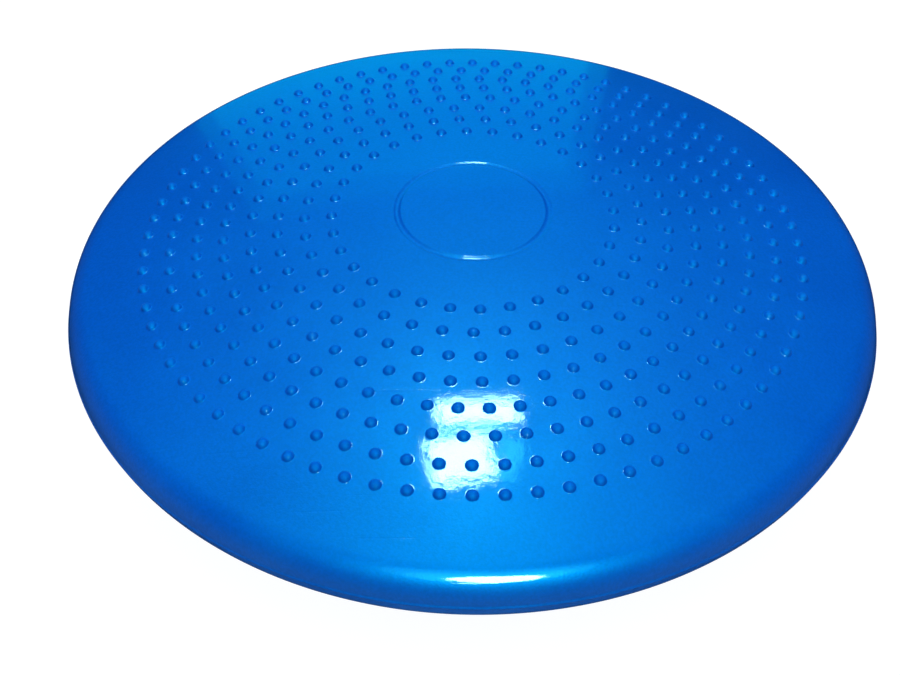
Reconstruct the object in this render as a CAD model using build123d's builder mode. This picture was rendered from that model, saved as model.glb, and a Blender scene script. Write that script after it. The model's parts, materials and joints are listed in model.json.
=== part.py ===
from build123d import *
import os
from math import asin, atan2, cos, degrees, radians, sin, sqrt

# Wobble cushion: a sealed, air-filled disc of soft PVC that someone sits or stands on to
# train balance.  The whole skin is one moulding.  Here it is divided into the bands that
# move differently when the cushion is squashed or tilted.
#
# Frame: millimetres, +Z up, origin at the centre of the flat patch that the cushion
# stands on.  The user stands on the -Y side, the inflation valve is underneath at +Y.

# Driving dimensions of the skin
RIM_RADIUS = 165.0          # equator of the cushion, without the parting bead
DOME_HEIGHT = 35.0          # from the equator to the top of either dome
DOME_RADIUS = 540.0         # spherical radius of both domes
SAG = 1.5                   # how much of the lower dome is flattened by standing
SKIN = 4.5                  # wall thickness

# Where the skin is divided into bands
LOWER_FACE_RADIUS = 112.0   # stays still on the floor
FLANK_RADIUS = 150.0        # between the lower flank and the lower shoulder
UPPER_FACE_RADIUS = 138.0   # pressed down inside the upper shoulder
BEAD_HALF_WIDTH = 0.8       # parting bead, above and below the equator
BEAD_PROUD = 0.45           # how far the bead stands out of the rim
JOINT_GAP = 0.3             # clearance between bands that move apart

# Massage nubs, in rings round the upper face
RING_COUNTS = (32, 37, 43, 50, 58, 64, 69, 76)
FIRST_RING_RADIUS = 56.7
RING_PITCH = 10.9
# The nub nearest the user's side in each ring; a moulder doesn't line the rings up
FRONT_ANGLES = (-86.5, -89.0, -87.2, -87.1, -92.1, -90.8, -89.3, -89.2)
NUB_RADIUS = 2.2            # where the nub leaves the skin
NUB_HEIGHT = 1.8

# Round groove in the middle of the upper face
GROOVE_RADIUS = 30.5
GROOVE_WIDTH = 2.8
GROOVE_DEPTH = 0.5

# Inflation valve, square to the lower face
VALVE_OFFSET = 70.0         # from the cushion's axis
SEAT_RADIUS = 7.0           # the seat's tube, through the skin
SEAT_FLANGE_RADIUS = 12.0   # bonded to the inside of the skin
SEAT_FLANGE_THICKNESS = 2.5
SEAT_DEPTH = 13.0           # from the outer face to the seat's inner end
SEAT_INSET = 0.3            # the valve lies this far below the outer face
PLUG_RADIUS = 4.0
PLUG_HEAD_RADIUS = 5.4
PLUG_HEAD_THICKNESS = 1.4
PLUG_BULB_RADIUS = 4.8      # holds the plug behind the seat
PLUG_BULB_LENGTH = 3.0
NEEDLE_RADIUS = 1.1         # pump needle channel, closed at its inner end
NEEDLE_DEPTH = 8.0
PRESS = 0.05                # interference of the valve's press fits

# Worked out from the dimensions above
EQUATOR_Z = DOME_HEIGHT - SAG
UPPER_CENTRE_Z = EQUATOR_Z + DOME_HEIGHT - DOME_RADIUS
LOWER_CENTRE_Z = EQUATOR_Z - DOME_HEIGHT + DOME_RADIUS
# The shoulder's arc ends at the equator and is tangent to the dome
SHOULDER_RADIUS = (2 * DOME_RADIUS * DOME_HEIGHT - DOME_HEIGHT**2 - RIM_RADIUS**2) / (
    2 * (DOME_RADIUS - RIM_RADIUS)
)
SHOULDER_CENTRE_R = RIM_RADIUS - SHOULDER_RADIUS
TANGENT_TILT = degrees(atan2(SHOULDER_CENTRE_R, DOME_RADIUS - DOME_HEIGHT))
TOP_Z = EQUATOR_Z + DOME_HEIGHT


def draw_outline(inset):
    """Half outline of the cushion beside the Z axis, moved inwards by inset."""
    dome = DOME_RADIUS - inset
    patch = sqrt(dome**2 - (LOWER_CENTRE_Z - inset) ** 2)
    patch_tilt = degrees(asin(patch / dome))
    shoulder = SHOULDER_RADIUS - inset
    CenterArc((0, UPPER_CENTRE_Z), dome, 90 - TANGENT_TILT, TANGENT_TILT)
    CenterArc((SHOULDER_CENTRE_R, EQUATOR_Z), shoulder, TANGENT_TILT - 90, 180 - 2 * TANGENT_TILT)
    CenterArc((0, LOWER_CENTRE_Z), dome, patch_tilt - 90, TANGENT_TILT - patch_tilt)
    Line((patch, inset), (0, inset))
    Line((0, inset), (0, UPPER_CENTRE_Z + dome))


def skin_section(radii, heights):
    """Section of the skin between two radii and two heights, to be revolved."""
    with BuildSketch(Plane.XZ) as section:
        with BuildLine():
            draw_outline(0)
        make_face()
        with BuildLine():
            draw_outline(SKIN)
        make_face(mode=Mode.SUBTRACT)
        with Locations((sum(radii) / 2, sum(heights) / 2)):
            Rectangle(radii[1] - radii[0], heights[1] - heights[0], mode=Mode.INTERSECT)
    return section.sketch


def nub_places():
    """Centres of the nubs' spheres, sunk so that each nub has its radius and height."""
    sphere = (NUB_RADIUS**2 + NUB_HEIGHT**2) / (2 * NUB_HEIGHT)
    reach = DOME_RADIUS + NUB_HEIGHT - sphere
    places = []
    for ring, (count, front) in enumerate(zip(RING_COUNTS, FRONT_ANGLES)):
        tilt = asin((FIRST_RING_RADIUS + ring * RING_PITCH) / DOME_RADIUS)
        out = reach * sin(tilt)
        for step in range(count):
            angle = radians(front + 360 * step / count)
            places.append((out * cos(angle), out * sin(angle), UPPER_CENTRE_Z + reach * cos(tilt)))
    return sphere, places


# Upper face: the dome with its rings of nubs and its round groove
nub_sphere, nub_centres = nub_places()
groove_sphere = (GROOVE_WIDTH**2 / 4 + GROOVE_DEPTH**2) / (2 * GROOVE_DEPTH)
groove_reach = DOME_RADIUS - GROOVE_DEPTH + groove_sphere
groove_tilt = asin(GROOVE_RADIUS / DOME_RADIUS)
with BuildPart() as upper_face:
    revolve(skin_section((0, UPPER_FACE_RADIUS), (EQUATOR_Z, TOP_Z)), axis=Axis.Z)
    with BuildSketch(Plane.XZ):
        with Locations(
            (groove_reach * sin(groove_tilt), UPPER_CENTRE_Z + groove_reach * cos(groove_tilt))
        ):
            Circle(groove_sphere)
    revolve(axis=Axis.Z, mode=Mode.SUBTRACT)
    with Locations(nub_centres):
        Sphere(nub_sphere)
upper_face.part.label = "upper_face"

# Upper shoulder: the plain margin outside the nubs, turning down to the parting bead
upper_radii = (UPPER_FACE_RADIUS + JOINT_GAP, RIM_RADIUS)
with BuildPart() as upper_shoulder:
    revolve(skin_section(upper_radii, (EQUATOR_Z + BEAD_HALF_WIDTH, TOP_Z)), axis=Axis.Z)
upper_shoulder.part.label = "upper_shoulder"

# Parting bead: the flash that the two halves of the mould leave round the equator
with BuildPart() as parting_bead:
    with BuildSketch(Plane.XZ):
        with Locations((RIM_RADIUS - SKIN / 2, EQUATOR_Z)):
            Rectangle(SKIN, 2 * BEAD_HALF_WIDTH)
        with Locations((RIM_RADIUS, EQUATOR_Z)):
            Ellipse(BEAD_PROUD, BEAD_HALF_WIDTH)
    revolve(axis=Axis.Z)
parting_bead.part.label = "parting_bead"

# Lower shoulder: the lower half of the rim, under the parting bead
lower_radii = (FLANK_RADIUS + JOINT_GAP, RIM_RADIUS)
with BuildPart() as lower_shoulder:
    revolve(skin_section(lower_radii, (0, EQUATOR_Z - BEAD_HALF_WIDTH)), axis=Axis.Z)
lower_shoulder.part.label = "lower_shoulder"

# Lower flank: clear of the floor, bends as the cushion tilts
flank_radii = (LOWER_FACE_RADIUS + JOINT_GAP, FLANK_RADIUS)
with BuildPart() as lower_flank:
    revolve(skin_section(flank_radii, (0, EQUATOR_Z)), axis=Axis.Z)
lower_flank.part.label = "lower_flank"

# The valve's plane: origin on the outer skin, Z out of the cushion
valve_tilt = asin(VALVE_OFFSET / DOME_RADIUS)
valve_plane = Plane(
    origin=(0, VALVE_OFFSET, LOWER_CENTRE_Z - DOME_RADIUS * cos(valve_tilt)),
    x_dir=(1, 0, 0),
    z_dir=(0, sin(valve_tilt), -cos(valve_tilt)),
)

# Lower face: stands on the flat patch, with a hole for the valve seat
with BuildPart() as lower_face:
    revolve(skin_section((0, LOWER_FACE_RADIUS), (0, EQUATOR_Z)), axis=Axis.Z)
    with BuildSketch(valve_plane):
        Circle(SEAT_RADIUS - PRESS)
    extrude(amount=2 * SKIN, both=True, mode=Mode.SUBTRACT)
lower_face.part.label = "lower_face"

# Valve seat: a tube through the skin with a flange inside, counterbored for the plug's head
with BuildPart() as valve_seat:
    with BuildSketch(valve_plane.offset(-SEAT_INSET)):
        Circle(SEAT_RADIUS)
    extrude(amount=SEAT_INSET - SEAT_DEPTH)
    with BuildSketch(valve_plane.offset(-SKIN)):
        Circle(SEAT_FLANGE_RADIUS)
    extrude(amount=-SEAT_FLANGE_THICKNESS)
    with BuildSketch(valve_plane.offset(-SEAT_INSET)):
        Circle(PLUG_HEAD_RADIUS)
    extrude(amount=-PLUG_HEAD_THICKNESS, mode=Mode.SUBTRACT)
    with BuildSketch(valve_plane):
        Circle(PLUG_RADIUS - PRESS)
    extrude(amount=-2 * SEAT_DEPTH, mode=Mode.SUBTRACT)
valve_seat.part.label = "valve_seat"

# Valve plug: self-sealing rubber with a channel for a pump needle
plug_face = valve_plane.offset(-SEAT_INSET)
with BuildPart() as valve_plug:
    with BuildSketch(plug_face):
        Circle(PLUG_HEAD_RADIUS)
    extrude(amount=-PLUG_HEAD_THICKNESS)
    with BuildSketch(plug_face):
        Circle(PLUG_RADIUS)
    extrude(amount=SEAT_INSET - SEAT_DEPTH)
    with BuildSketch(valve_plane.offset(-SEAT_DEPTH)):
        Circle(PLUG_BULB_RADIUS)
    extrude(amount=-PLUG_BULB_LENGTH, taper=15)
    with BuildSketch(plug_face):
        Circle(NEEDLE_RADIUS)
    extrude(amount=-NEEDLE_DEPTH, mode=Mode.SUBTRACT)
valve_plug.part.label = "valve_plug"

PIECES = (
    upper_face,
    upper_shoulder,
    parting_bead,
    lower_shoulder,
    lower_flank,
    lower_face,
    valve_seat,
    valve_plug,
)
for piece in PIECES:
    export_step(piece.part, f"parts/{piece.part.label}.step")
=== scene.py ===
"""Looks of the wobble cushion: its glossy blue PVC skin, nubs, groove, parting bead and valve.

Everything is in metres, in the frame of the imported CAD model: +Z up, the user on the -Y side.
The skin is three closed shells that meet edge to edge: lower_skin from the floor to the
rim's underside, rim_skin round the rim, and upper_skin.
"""

import json
import math

import bmesh
import bpy
import numpy as np
from mathutils import Matrix, Quaternion, Vector


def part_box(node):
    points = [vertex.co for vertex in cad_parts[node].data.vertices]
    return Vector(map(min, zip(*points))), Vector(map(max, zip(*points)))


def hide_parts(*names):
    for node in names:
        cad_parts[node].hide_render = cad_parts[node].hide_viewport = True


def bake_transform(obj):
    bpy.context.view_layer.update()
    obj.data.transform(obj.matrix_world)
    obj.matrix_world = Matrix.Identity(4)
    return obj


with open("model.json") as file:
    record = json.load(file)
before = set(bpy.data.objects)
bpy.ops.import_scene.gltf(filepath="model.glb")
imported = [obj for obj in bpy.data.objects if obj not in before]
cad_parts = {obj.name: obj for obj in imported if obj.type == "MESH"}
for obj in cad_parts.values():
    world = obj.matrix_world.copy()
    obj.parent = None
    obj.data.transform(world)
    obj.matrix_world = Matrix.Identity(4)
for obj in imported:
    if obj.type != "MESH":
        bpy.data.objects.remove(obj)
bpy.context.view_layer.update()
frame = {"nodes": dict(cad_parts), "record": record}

MM = 0.001

# ---------------------------------------------------------------- sizes, as in the CAD model
DOME_RADIUS = 540 * MM
SKIN = 4.5 * MM
BEAD_PROUD = 0.45 * MM
BEAD_HALF_WIDTH = 0.8 * MM
bead_low, bead_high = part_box("parting_bead")
RIM_RADIUS = bead_high.x - BEAD_PROUD
EQUATOR_Z = (bead_low.z + bead_high.z) / 2
TOP_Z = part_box("upper_face")[1].z
DOME_HEIGHT = TOP_Z - EQUATOR_Z
SHOULDER_RADIUS = (2 * DOME_RADIUS * DOME_HEIGHT - DOME_HEIGHT**2 - RIM_RADIUS**2) / (
    2 * (DOME_RADIUS - RIM_RADIUS)
)
SHOULDER_CENTRE = RIM_RADIUS - SHOULDER_RADIUS
UPPER_CENTRE_Z = TOP_Z - DOME_RADIUS
LOWER_CENTRE_Z = 2 * EQUATOR_Z - UPPER_CENTRE_Z

# A tilt is how far the skin has turned down from level
FACE_TILT = math.asin(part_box("upper_face")[1].x / DOME_RADIUS)
FLANK_TILT = math.asin(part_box("lower_flank")[1].x / DOME_RADIUS)
TANGENT_TILT = math.atan2(SHOULDER_CENTRE, DOME_RADIUS - DOME_HEIGHT)

# Rings of nubs, and the angle of the nub nearest the user in each
RING_COUNTS = (32, 37, 43, 50, 58, 64, 69, 76)
FRONT_ANGLES = (-86.5, -89.0, -87.2, -87.1, -92.1, -90.8, -89.3, -89.2)
FIRST_RING_RADIUS = 56.7 * MM
RING_PITCH = 10.9 * MM
NUB_CELL_HALF = 4.6 * MM     # half the width of the band that a ring's cells fill
NUB_RADIUS = 2.2 * MM
NUB_HEIGHT = 1.8 * MM
NUB_FILLET = 0.3 * MM

GROOVE_RADIUS = 30.5 * MM
GROOVE_HALF = 1.4 * MM
GROOVE_DEPTH = 0.5 * MM

VALVE_SEAT_RADIUS = 7.0 * MM
VALVE_CELL_HALF = 12 * MM
VALVE_CELLS = 16

SIDE = 4                     # mesh segments along each side of a cell
INSIDE_STEPS = 96            # mesh segments round the inside of the upper wall
TURN = 2 * math.pi


# ---------------------------------------------------------------- mesh building
def upper_surface(inset):
    """Height of the upper dome at a radius, moved inwards by inset."""
    return lambda radius: UPPER_CENTRE_Z + np.sqrt((DOME_RADIUS - inset) ** 2 - np.square(radius))


def lower_surface(inset):
    """Height of the lower dome at a radius, flat where the cushion stands."""
    dome = DOME_RADIUS - inset
    return lambda radius: np.maximum(inset, LOWER_CENTRE_Z - np.sqrt(dome**2 - np.square(radius)))


def after(start, end, count):
    """Values from start to end in count steps, without start."""
    return list(np.linspace(start, end, count + 1)[1:])


class Mesh:
    """Points and faces of a shell round the Z axis, while it is built."""

    def __init__(self):
        self.points = np.zeros((0, 3))
        self.faces = []

    def add(self, points):
        """Add points and return their numbers, in the same shape."""
        points = np.asarray(points, float)
        first = len(self.points)
        self.points = np.vstack([self.points, points.reshape(-1, 3)])
        return first + np.arange(points.size // 3).reshape(points.shape[:-1])

    def circle(self, radius, height, angles):
        """One ring of points round the Z axis."""
        x, y = radius * np.cos(angles), radius * np.sin(angles)
        return self.add(np.stack([x, y, np.full_like(x, height)], axis=-1))

    def quads(self, rows):
        """Faces between neighbouring closed rows. rows has the shape (..., row, step)."""
        a, b = rows[..., :-1, :], rows[..., 1:, :]
        faces = np.stack([a, np.roll(a, -1, -1), np.roll(b, -1, -1), b], axis=-1)
        self.faces += faces.reshape(-1, 4).tolist()

    def rows(self, places, surface, angles, start):
        """Rings of points at these radii, joined one to the next from the ring start."""
        for radius in places:
            ring = self.circle(radius, surface(radius), angles)
            self.quads(np.stack([start, ring]))
            start = ring
        return start

    def fan(self, centres, rings):
        """Triangles from each centre to the closed ring round it."""
        centres = np.broadcast_to(centres[..., None], rings.shape)
        faces = np.stack([centres, np.roll(rings, -1, -1), rings], axis=-1)
        self.faces += faces.reshape(-1, 3).tolist()

    def join(self, inner, outer):
        """Triangles between two rings round the Z axis that may have different counts."""
        rings, angles = [], []
        for ring in (inner, outer):
            place = self.points[ring]
            angle = np.arctan2(place[:, 1], place[:, 0]) % TURN
            order = np.argsort(angle)
            rings.append(np.append(ring[order], ring[order[0]]))
            angles.append(np.append(angle[order], angle[order[0]] + TURN))
        (a, b), (at_a, at_b) = rings, angles
        i = j = 0
        while i < len(a) - 1 or j < len(b) - 1:
            if j == len(b) - 1 or (i < len(a) - 1 and at_a[i + 1] < at_b[j + 1]):
                self.faces.append([a[i], b[j], a[i + 1]])
                i += 1
            else:
                self.faces.append([a[i], b[j], b[j + 1]])
                j += 1

    def cells(self, surface, up, tilt, dome, half, angles, count, profile, pole=None):
        """Square cells in a ring round the Z axis, each with a round feature in its middle.

        The cells stand at angles, and count of them would close the ring.  up is 1 on the
        upper dome and -1 on the lower.  profile lists the feature's rings from the middle
        out, as (distance from its own axis, height above the skin), and pole is the height
        of its middle, or None for a hole.  Returns the points along the cells' inner edge,
        along their outer edge, and round each feature's innermost ring.
        """
        step = np.arange(4 * SIDE) * 2 / SIDE
        square = np.clip(2 - np.abs((step[:, None] + [4, 2]) % 8 - 4), -1, 1)
        square_angle = np.arctan2(square[:, 1], square[:, 0])
        angles = np.asarray(angles, float)
        zero = np.zeros_like(angles)
        out = np.stack([np.cos(angles), np.sin(angles), zero], axis=-1)[:, None]
        along = np.stack([-np.sin(angles), np.cos(angles), zero], axis=-1)[:, None]
        rise = np.array([0, 0, up])
        normal = out * math.sin(tilt) + rise * math.cos(tilt)
        downhill = out * math.cos(tilt) - rise * math.sin(tilt)
        middle = dome * math.sin(tilt) * out

        def on_skin(points):
            points[..., 2] = surface(np.hypot(points[..., 0], points[..., 1]))
            return points

        spread = np.cos(square_angle)[:, None] * downhill + np.sin(square_angle)[:, None] * along
        rows = [on_skin(middle + reach * spread) + height * normal for reach, height in profile]
        edge_radius = dome * math.sin(tilt) + half * square[:, 0]
        edge_angle = angles[:, None] + math.pi / count * square[:, 1]
        edge = np.stack(
            [edge_radius * np.cos(edge_angle), edge_radius * np.sin(edge_angle), 0 * edge_angle],
            axis=-1,
        )
        rows.append(on_skin((rows[-1] + edge) / 2))
        rows.append(on_skin(edge))
        numbers = self.add(np.stack(rows, axis=1))
        self.quads(numbers)
        if pole is not None:
            self.fan(self.add((on_skin(middle.copy()) + pole * normal)[:, 0]), numbers[:, 0])
        last = numbers[:, -1]
        inner = last[:, (square[:, 0] == -1) & (square[:, 1] < 1)].reshape(-1)
        outer = last[:, (square[:, 0] == 1) & (square[:, 1] < 1)].reshape(-1)
        return inner, outer, numbers[:, 0]

    def build(self, name):
        """A Blender object with doubled points joined and every face looking outwards."""
        data = bpy.data.meshes.new(name)
        data.from_pydata(self.points.tolist(), [], self.faces)
        work = bmesh.new()
        work.from_mesh(data)
        bmesh.ops.remove_doubles(work, verts=work.verts, dist=0.01 * MM)
        bmesh.ops.recalc_face_normals(work, faces=work.faces)
        work.to_mesh(data)
        work.free()
        data.shade_smooth()
        data.set_sharp_from_angle(angle=math.radians(50))
        piece = bpy.data.objects.new(name, data)
        bpy.context.scene.collection.objects.link(piece)
        return piece


# ---------------------------------------------------------------- the three shells
def nub_profile():
    """A spherical cap with a fillet round its foot, from near its pole outwards."""
    sphere = (NUB_RADIUS**2 + NUB_HEIGHT**2) / (2 * NUB_HEIGHT)
    sunk = sphere - NUB_HEIGHT
    foot = math.sqrt((sphere + NUB_FILLET) ** 2 - (sunk + NUB_FILLET) ** 2)
    meet = math.atan2(foot, sunk + NUB_FILLET)
    cap = [(sphere * math.sin(t), sphere * math.cos(t) - sunk) for t in after(0, meet, 5)]
    fillet = [
        (foot - NUB_FILLET * math.sin(t), NUB_FILLET * (1 - math.cos(t)))
        for t in after(meet, 0, 3)
    ]
    return cap + fillet + [(foot + 0.2 * MM, 0)]


def nub_angles(ring):
    """Angles of a ring's nubs round the cushion."""
    count = RING_COUNTS[ring]
    return math.radians(FRONT_ANGLES[ring]) + TURN * np.arange(count) / count


def edge_angles():
    """Angles of the points on the edges where the shells meet, those of the last ring's cells."""
    steps = (np.arange(SIDE) * 2 / SIDE - 1) * math.pi / RING_COUNTS[-1]
    return (nub_angles(len(RING_COUNTS) - 1)[:, None] + steps).reshape(-1)


def grooved_surface(radius):
    """Height of the upper dome at a radius, with the round groove."""
    across = (radius - GROOVE_RADIUS) / GROOVE_HALF
    return upper_surface(0)(radius) - GROOVE_DEPTH * max(0.0, 1 - across**2)


def upper_skin():
    """The dome with its nubs and groove, out to the plain margin."""
    mesh = Mesh()
    surface = upper_surface(0)
    profile = nub_profile()
    previous = None
    for ring, count in enumerate(RING_COUNTS):
        tilt = math.asin((FIRST_RING_RADIUS + ring * RING_PITCH) / DOME_RADIUS)
        inner, outer, _ = mesh.cells(
            surface, 1, tilt, DOME_RADIUS, NUB_CELL_HALF, nub_angles(ring), count, profile, NUB_HEIGHT
        )
        if previous is None:
            middle = inner
        else:
            mesh.join(previous, inner)
        previous = outer
    angles = edge_angles()
    radius = DOME_RADIUS * math.sin(FACE_TILT)
    edge = mesh.circle(radius, surface(radius), angles)
    mesh.join(previous, edge)

    # The middle, inwards from the first ring
    groove = GROOVE_RADIUS + GROOVE_HALF * np.linspace(1.2, -1.2, 13)
    radii = [47 * MM, 42 * MM, 37 * MM, *groove, 25 * MM, 20 * MM, 15 * MM, 10 * MM]
    start = nub_angles(0)[0] - math.pi / RING_COUNTS[0]
    around = start + TURN * np.arange(len(middle)) / len(middle)
    outermost = mesh.circle(radii[0], surface(radii[0]), around)
    mesh.join(outermost, middle)
    previous = mesh.rows(radii[1:], grooved_surface, around, outermost)
    small = mesh.circle(5 * MM, surface(5 * MM), around[::SIDE])
    mesh.join(small, previous)
    mesh.fan(mesh.add([[0, 0, TOP_Z]]), small[None])

    # The inside of the wall
    surface = upper_surface(SKIN)
    radius = (DOME_RADIUS - SKIN) * math.sin(FACE_TILT)
    previous = mesh.rows([radius], surface, angles, edge)
    coarse = TURN * np.arange(INSIDE_STEPS) / INSIDE_STEPS
    radii = [125 * MM, 100 * MM, 75 * MM, 50 * MM, 25 * MM]
    ring = mesh.circle(radii[0], surface(radii[0]), coarse)
    mesh.join(ring, previous)
    ring = mesh.rows(radii[1:], surface, coarse, ring)
    mesh.fan(mesh.add([[0, 0, TOP_Z - SKIN]]), ring[None])
    return mesh.build("upper_skin")


def rim_outline(inset, bead):
    """Radius and height of points down the rim, from the margin round to the flank."""
    dome, shoulder = DOME_RADIUS - inset, SHOULDER_RADIUS - inset
    quarter = math.pi / 2
    # The bead fades into the rim, so it reaches further than its half width
    bead_reach = 1.4 * BEAD_HALF_WIDTH
    bead_turn = math.asin(bead_reach / SHOULDER_RADIUS)
    # A hair's step beside each end keeps the dome's own slope where the shells meet
    hair = math.radians(0.03)
    points = []
    for tilt in [FACE_TILT, FACE_TILT + hair, *after(FACE_TILT + hair, TANGENT_TILT, 10)]:
        points.append((dome * math.sin(tilt), UPPER_CENTRE_Z + dome * math.cos(tilt)))
    for tilt in after(TANGENT_TILT, quarter - bead_turn, 14):
        radius = SHOULDER_CENTRE + shoulder * math.sin(tilt)
        points.append((radius, EQUATOR_Z + shoulder * math.cos(tilt)))
    for step in after(1, -1, 10)[:-1] if bead else []:
        wall = SHOULDER_CENTRE + math.sqrt(shoulder**2 - (bead_reach * step) ** 2)
        proud = BEAD_PROUD * math.cos(quarter * step) ** 2
        points.append((wall + proud, EQUATOR_Z + bead_reach * step))
    for tilt in [quarter + bead_turn, *after(quarter + bead_turn, math.pi - TANGENT_TILT, 14)]:
        radius = SHOULDER_CENTRE + shoulder * math.sin(tilt)
        points.append((radius, EQUATOR_Z + shoulder * math.cos(tilt)))
    for tilt in [*after(TANGENT_TILT, FLANK_TILT + hair, 4), FLANK_TILT]:
        points.append((dome * math.sin(tilt), LOWER_CENTRE_Z - dome * math.cos(tilt)))
    return points


def rim_skin():
    """The plain margin, the rounded rim with its parting bead, and the rim's underside."""
    mesh = Mesh()
    angles = edge_angles()
    outside = [mesh.circle(*place, angles) for place in rim_outline(0, True)]
    inside = [mesh.circle(*place, angles) for place in rim_outline(SKIN, False)]
    mesh.quads(np.stack([*outside, *reversed(inside), outside[0]]))
    return mesh.build("rim_skin")


def lower_sheet(mesh, inset, valve_tilt, lip):
    """One face of the underside's wall, with a hole for the valve. Returns its edge and hole."""
    surface = lower_surface(inset)
    dome = DOME_RADIUS - inset
    turns = math.pi / 2 + TURN * np.arange(VALVE_CELLS) / VALVE_CELLS
    layout = (surface, -1, valve_tilt, dome, VALVE_CELL_HALF)
    inner, outer, hole = mesh.cells(*layout, turns[:1], VALVE_CELLS, lip)
    plain = [(3 * MM, 0), (7 * MM, 0)]
    more_inner, more_outer, _ = mesh.cells(*layout, turns[1:], VALVE_CELLS, plain, 0.0)
    inner, outer = np.append(inner, more_inner), np.append(outer, more_outer)

    around = turns[0] - math.pi / VALVE_CELLS + TURN * np.arange(len(inner)) / len(inner)
    patch = math.sqrt(dome**2 - (LOWER_CENTRE_Z - inset) ** 2)
    radii = [52 * MM, 47 * MM, 43 * MM, patch, 36 * MM, 28 * MM, 20 * MM, 12 * MM]
    ring = mesh.circle(radii[0], surface(radii[0]), around)
    mesh.join(ring, inner)
    ring = mesh.rows(radii[1:], surface, around, ring)
    mesh.fan(mesh.add([[0, 0, inset]]), ring[None])

    angles = edge_angles()
    edge_radius = dome * math.sin(FLANK_TILT)
    radii = [88 * MM, 96 * MM, 104 * MM, 112 * MM, 120 * MM]
    ring = mesh.circle(radii[0], surface(radii[0]), angles[::2])
    mesh.join(outer, ring)
    ring = mesh.rows(radii[1:], surface, angles[::2], ring)
    radii = [126 * MM, 132 * MM, 138 * MM, 144 * MM, edge_radius - 0.3 * MM, edge_radius]
    wide = mesh.circle(radii[0], surface(radii[0]), angles)
    mesh.join(ring, wide)
    return mesh.rows(radii[1:], surface, angles, wide), hole


def lower_skin():
    """The underside: a flat patch to stand on, a hole for the valve, out to the rim."""
    mesh = Mesh()
    needle = next(m for m in frame["record"]["mounts"] if m["name"] == "pump_needle")
    tilt = math.asin(needle["axis"][1])
    seat = VALVE_SEAT_RADIUS
    lip = [(seat, -0.5 * MM), (seat * 1.01, -0.2 * MM), (seat * 1.03, -0.05 * MM), (seat * 1.07, 0)]
    edge, hole = lower_sheet(mesh, 0, tilt, lip)
    inner_edge, inner_hole = lower_sheet(mesh, SKIN, tilt, [(seat, 0)])
    mesh.quads(np.stack([edge, inner_edge]))
    mesh.quads(np.stack([hole, inner_hole], axis=1))
    return mesh.build("lower_skin")


def mark_nubs(piece):
    """Store in each point how far it stands above the dome, as a share of a nub's height."""
    places = np.array([point.co for point in piece.data.vertices])
    height = np.linalg.norm(places - [0, 0, UPPER_CENTRE_Z], axis=1) - DOME_RADIUS
    mark = piece.data.attributes.new("nub", "FLOAT", "POINT")
    mark.data.foreach_set("value", np.clip(height / NUB_HEIGHT, 0, 1))


# ---------------------------------------------------------------- materials
class Nodes:
    """Adds nodes to a material's or a world's node tree and joins them up."""

    def __init__(self, tree):
        self.tree = tree

    def put(self, value, socket):
        """Give a socket a fixed value, or a link from another node's output."""
        if isinstance(value, bpy.types.NodeSocket):
            self.tree.links.new(value, socket)
        else:
            socket.default_value = value

    def add(self, kind, **inputs):
        """A new node, with its inputs given by name."""
        made = self.tree.nodes.new("ShaderNode" + kind)
        for name, value in inputs.items():
            self.put(value, made.inputs[name.replace("_", " ")])
        return made

    def noise(self, coords, scale, detail):
        """Soft noise, mostly between 0.3 and 0.7."""
        return self.add("TexNoise", Vector=coords, Scale=scale, Detail=detail).outputs["Fac"]

    def ramp(self, value, stops):
        """Colours along a value, from stops of (position, colour or grey)."""
        made = self.add("ValToRGB", Fac=value)
        elements = made.color_ramp.elements
        while len(elements) < len(stops):
            elements.new(0.5)
        for element, (position, shade) in zip(elements, stops):
            element.position = position
            element.color = (*shade, 1) if isinstance(shade, tuple) else (shade, shade, shade, 1)
        return made.outputs["Color"]

    def stretch(self, value, old, new):
        """A value moved from the range old to the range new."""
        made = self.add("MapRange", Value=value, From_Min=old[0], From_Max=old[1])
        self.put(new[0], made.inputs["To Min"])
        self.put(new[1], made.inputs["To Max"])
        return made.outputs["Result"]

    def compute(self, operation, *values):
        """The result of one operation on some values."""
        made = self.add("Math")
        made.operation = operation
        for value, socket in zip(values, made.inputs):
            self.put(value, socket)
        return made.outputs["Value"]

    def multiply(self, first, second):
        """The product of two colours."""
        made = self.add("Mix", Factor=1.0)
        made.data_type = "RGBA"
        made.blend_type = "MULTIPLY"
        self.put(first, made.inputs[6])      # colour A
        self.put(second, made.inputs[7])     # colour B
        return made.outputs[2]

    def bump(self, height, distance, strength=1.0, under=None, invert=False):
        """The surface's normal over a relief, on top of the normal under."""
        made = self.add("Bump", Height=height, Strength=strength, Distance=distance)
        made.invert = invert
        if under is not None:
            self.put(under, made.inputs["Normal"])
        return made.outputs["Normal"]


def material(name):
    """A new material, its Principled shader and its nodes."""
    mat = bpy.data.materials.new(name)
    mat.use_nodes = True
    return mat, mat.node_tree.nodes["Principled BSDF"], Nodes(mat.node_tree)


def pvc_colour(nodes, coords):
    """Deep blue, drifting a little over the cushion and mottled finely."""
    drift = nodes.noise(coords, 14.0, 3.0)
    blues = nodes.ramp(drift, [(0.3, (0.0, 0.112, 0.63)), (0.7, (0.0, 0.122, 0.68))])
    mottle = nodes.noise(coords, 900.0, 2.0)
    return nodes.multiply(blues, nodes.ramp(mottle, [(0.35, 0.84), (0.65, 1.0)]))


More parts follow.
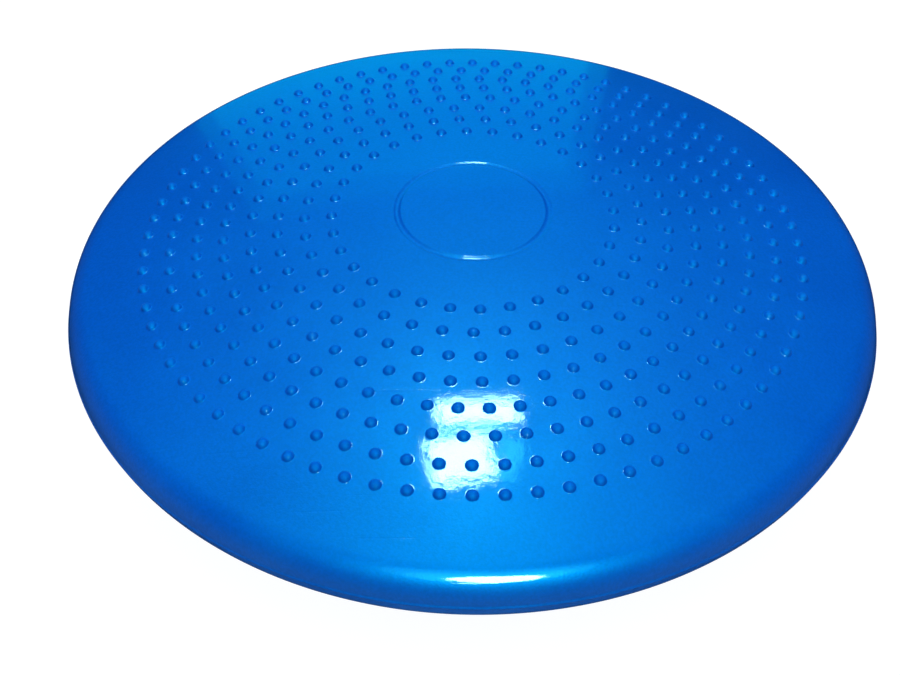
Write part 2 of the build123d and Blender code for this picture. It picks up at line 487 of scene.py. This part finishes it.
def scuffs(nodes, coords):
    """Fine scratches in two directions: 1 in a scratch and 0 beside it."""
    scratches = []
    for turn, scale in ((0.35, (9.0, 420.0, 60.0)), (1.9, (12.0, 520.0, 60.0))):
        turned = nodes.add("Mapping", Vector=coords, Rotation=(0, 0, turn), Scale=scale)
        lines = nodes.noise(turned.outputs["Vector"], 1.0, 2.0)
        scratches.append(nodes.ramp(lines, [(0.68, 0.0), (0.74, 1.0)]))
    return nodes.compute("MAXIMUM", *scratches)


def pvc():
    """Soft blue PVC: broad blue sheen under a thin glossy skin with orange peel and scuffs."""
    mat, shader, nodes = material("blue_pvc")
    coords = nodes.add("TexCoord").outputs["Object"]
    nodes.put(pvc_colour(nodes, coords), shader.inputs["Base Color"])

    # The sheen is smeared by handling, and rougher in the scuffs and on the rubbed nubs
    scratched = scuffs(nodes, coords)
    mark = nodes.add("Attribute")
    mark.attribute_name = "nub"
    nub = mark.outputs["Fac"]
    rough = nodes.stretch(nodes.noise(coords, 30.0, 4.0), (0.3, 0.7), (0.40, 0.52))
    rough = nodes.compute("MULTIPLY_ADD", scratched, 0.12, rough)
    rough = nodes.compute("MULTIPLY_ADD", nub, 0.3, rough)
    nodes.put(rough, shader.inputs["Roughness"])

    # Relief: orange peel a few millimetres across, scratches, and moulded grain that is
    # fainter in the gloss than in the sheen
    peel = nodes.bump(nodes.noise(coords, 330.0, 1.0), 0.022 * MM)
    worn = nodes.bump(scratched, 0.02 * MM, under=peel, invert=True)
    grain = nodes.noise(coords, 1500.0, 2.0)
    nodes.put(nodes.bump(grain, 0.011 * MM, under=worn), shader.inputs["Coat Normal"])
    nodes.put(nodes.bump(grain, 0.06 * MM, under=worn), shader.inputs["Normal"])

    # The gloss is worn off the nubs, down to their feet
    nodes.put(nodes.stretch(nub, (0.0, 0.15), (1.0, 0.03)), shader.inputs["Coat Weight"])
    shader.inputs["IOR"].default_value = 1.5
    shader.inputs["Specular IOR Level"].default_value = 1.0
    shader.inputs["Specular Tint"].default_value = (0.0, 0.55, 1.0, 1)
    shader.inputs["Coat Roughness"].default_value = 0.035
    shader.inputs["Coat IOR"].default_value = 1.45
    return mat


def plain_rubber(name, colour, roughness, grain_size):
    """Matt moulded rubber or vinyl for the valve: fine grain and a little dust."""
    mat, shader, nodes = material(name)
    coords = nodes.add("TexCoord").outputs["Object"]
    cloud = nodes.noise(coords, 260.0, 4.0)
    dark = tuple(0.8 * c for c in colour)
    light = tuple(min(1, 1.25 * c + 0.01) for c in colour)
    nodes.put(nodes.ramp(cloud, [(0.35, dark), (0.65, light)]), shader.inputs["Base Color"])
    rough = nodes.stretch(cloud, (0.0, 1.0), (roughness - 0.08, roughness + 0.08))
    nodes.put(rough, shader.inputs["Roughness"])
    grain = nodes.noise(coords, 1 / grain_size, 3.0)
    nodes.put(nodes.bump(grain, 0.03 * MM, strength=0.6), shader.inputs["Normal"])
    return mat


def paint(piece, mat):
    """Give a piece one material."""
    piece.data.materials.clear()
    piece.data.materials.append(mat)


# ---------------------------------------------------------------- stage, lights and camera
WINDOW_DISTANCE = 1.2        # from the cushion to the windows and the bright walls
FLOOR_SIZE = 30.0
BACKDROP_RADIUS = 12.0       # in reach of the camera in every view


def white_glow(name, strength):
    """A nearly white material that gives off light of its own."""
    mat, shader, _ = material(name)
    shader.inputs["Base Color"].default_value = (0.15, 0.15, 0.15, 1)
    shader.inputs["Roughness"].default_value = 0.9
    shader.inputs["Specular IOR Level"].default_value = 0.0
    shader.inputs["Emission Color"].default_value = (1, 1, 1, 1)
    shader.inputs["Emission Strength"].default_value = strength
    return mat


def studio():
    """A plain white floor that bounces soft light, and a white backdrop far behind."""
    bpy.ops.mesh.primitive_plane_add(size=FLOOR_SIZE, location=(0, 0, -0.05 * MM))
    floor = bpy.context.object
    floor.name = "studio_floor"
    paint(floor, white_glow("white_floor", 0.97))
    bpy.ops.mesh.primitive_uv_sphere_add(radius=BACKDROP_RADIUS, location=(0, 0, 0))
    backdrop = bpy.context.object
    backdrop.name = "studio_backdrop"
    paint(backdrop, white_glow("white_backdrop", 1.0))
    backdrop.visible_diffuse = False
    backdrop.visible_shadow = False
    for stage in (floor, backdrop):
        stage.visible_glossy = False


def area_light(name, target, azimuth, elevation, distance, size, radiance, tint=(1, 1, 1)):
    """A soft rectangle of light aimed at target from a direction. Azimuth 0 is from +Y."""
    data = bpy.data.lights.new(name, "AREA")
    data.shape = "RECTANGLE"
    data.size, data.size_y = size
    data.energy = radiance * math.pi * size[0] * size[1]
    data.color = tint
    light = bpy.data.objects.new(name, data)
    bpy.context.scene.collection.objects.link(light)
    a, e = math.radians(azimuth), math.radians(elevation)
    way = Vector((math.sin(a) * math.cos(e), math.cos(a) * math.cos(e), math.sin(e)))
    light.location = Vector(target) + distance * way
    light.rotation_mode = "QUATERNION"
    light.rotation_quaternion = way.to_track_quat("Z", "Y")
    light.visible_camera = False
    return light


def window(name, target, azimuth, elevation, size, radiance, tint, turn=0.0, shape="RECTANGLE"):
    """A bright shape, turned on itself, that is only seen mirrored in glossy surfaces."""
    light = area_light(name, target, azimuth, elevation, WINDOW_DISTANCE, size, radiance, tint)
    light.data.shape = shape
    light.rotation_quaternion @= Quaternion((0, 0, 1), math.radians(turn))
    light.visible_diffuse = False


def lights():
    """Windows and bright walls, seen in the gloss only, and soft light that isn't."""
    daylight = (0.45, 1.0, 1.0)
    haze = (0.05, 0.85, 1.0)
    dim_blue = (0.0, 0.66, 1.0)
    apex = Vector((0, 0, TOP_Z))
    # The overhead window is mirrored in the dome's near side
    near_side = Vector((0.002, -0.104, float(upper_surface(0)(0.104))))
    window("window_upper_pane", near_side, 3.2, 69.2, (0.215, 0.07), 60.0, daylight, 8.0)
    window("window_lower_pane", near_side, -4.2, 76.2, (0.165, 0.135), 60.0, daylight, 9.0)
    window("window_bar", near_side, 1.0, 72.1, (0.20, 0.035), 9.0, haze, 7.0)
    window("window_dull_pane", near_side, 20.0, 75.0, (0.06, 0.13), 9.0, haze, 6.0)
    # The front window is mirrored along the rounded rim, in the middle of a bright wall
    front_rim = Vector((0.016, -0.161, TOP_Z - 0.024))
    window("window_front", front_rim, 172.0, 45.0, (0.42, 0.42), 50.0, daylight, shape="ELLIPSE")
    window("wall_front", front_rim, 174.0, 53.0, (0.95, 0.85), 1.1, haze, shape="ELLIPSE")
    window("wall_front_middle", front_rim, 174.0, 49.0, (0.72, 0.66), 1.7, haze, shape="ELLIPSE")
    # The wall behind is mirrored in the far side of the dome, and fades at its edge
    window("wall_behind", apex, -7.4, 12.0, (0.76, 0.80), 0.5, dim_blue)
    window("wall_behind_edge", apex, -7.4, 14.0, (0.85, 0.90), 0.5, dim_blue)

    fill = area_light("ceiling_fill", apex, 0.0, 88.0, 1.6, (2.4, 2.4), 1.38)
    fill.visible_glossy = False


def room_glow():
    """The room's dim glow, strongest overhead and weakest to the user's left and right."""
    world = bpy.data.worlds.new("studio")
    world.use_nodes = True
    nodes = Nodes(world.node_tree)
    way = nodes.add("SeparateXYZ", Vector=nodes.add("TexCoord").outputs["Generated"])
    aside = nodes.compute("ABSOLUTE", way.outputs["X"])
    across = nodes.ramp(
        aside, [(0.0, (0.0, 0.66, 1.0)), (0.25, (0.0, 0.4, 0.6)), (0.6, (0.0, 0.03, 0.05))]
    )
    upwards = nodes.ramp(
        way.outputs["Z"], [(0.35, 0.0125), (0.6, 0.21), (0.85, 0.25), (0.95, 0.36), (1.0, 0.78)]
    )
    background = world.node_tree.nodes["Background"]
    nodes.put(nodes.multiply(across, upwards), background.inputs["Color"])
    background.inputs["Strength"].default_value = 4.0
    bpy.context.scene.world = world


def camera():
    """A view from above and in front, aimed a little nearer than the middle of the dome."""
    elevation, distance = math.radians(38.44), 0.5044
    focal_share = 1.392       # focal length over the picture's width
    yaw, pitch, roll = math.radians(-0.93), math.radians(-5.95), math.radians(1.14)
    back = Vector((0, -math.cos(elevation), math.sin(elevation)))
    look = -back
    right = Vector((1, 0, 0))
    above = right.cross(look)
    aim = math.cos(pitch) * (math.cos(yaw) * look + math.sin(yaw) * right) + math.sin(pitch) * above
    across = math.cos(yaw) * right - math.sin(yaw) * look
    top = across.cross(aim)
    level = math.cos(roll) * across + math.sin(roll) * top
    upright = math.cos(roll) * top - math.sin(roll) * across
    data = bpy.data.cameras.new("camera")
    data.sensor_width = 36.0
    data.lens = focal_share * data.sensor_width
    data.clip_start, data.clip_end = 0.01, 100
    cam = bpy.data.objects.new("camera", data)
    bpy.context.scene.collection.objects.link(cam)
    turn = Matrix((level, upright, -aim)).transposed()
    cam.matrix_world = Matrix.Translation(Vector((0, 0, TOP_Z)) + distance * back) @ turn.to_4x4()
    bpy.context.scene.camera = cam


# ---------------------------------------------------------------- the object
upper, rim, lower = upper_skin(), rim_skin(), lower_skin()
mark_nubs(upper)
blue = pvc()
for skin in (upper, rim, lower):
    paint(skin, blue)
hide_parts("upper_face")
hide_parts("upper_shoulder", "parting_bead", "lower_shoulder")
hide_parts("lower_flank", "lower_face")

# Heights of the skin at the edges where the shells meet, and each shell's placing baked into its
# points.
face_edge_z = float(upper_surface(0)(DOME_RADIUS * math.sin(FACE_TILT)))
flank_edge_z = float(lower_surface(0)(DOME_RADIUS * math.sin(FLANK_TILT)))
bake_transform(lower)
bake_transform(rim)
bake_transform(upper)

paint(frame["nodes"]["valve_seat"], plain_rubber("valve_vinyl", (0.0, 0.09, 0.42), 0.45, 0.6 * MM))
paint(frame["nodes"]["valve_plug"], plain_rubber("valve_rubber", (0.02, 0.02, 0.022), 0.6, 0.4 * MM))

studio()
lights()
room_glow()
camera()
bpy.context.scene.view_settings.view_transform = "Standard"
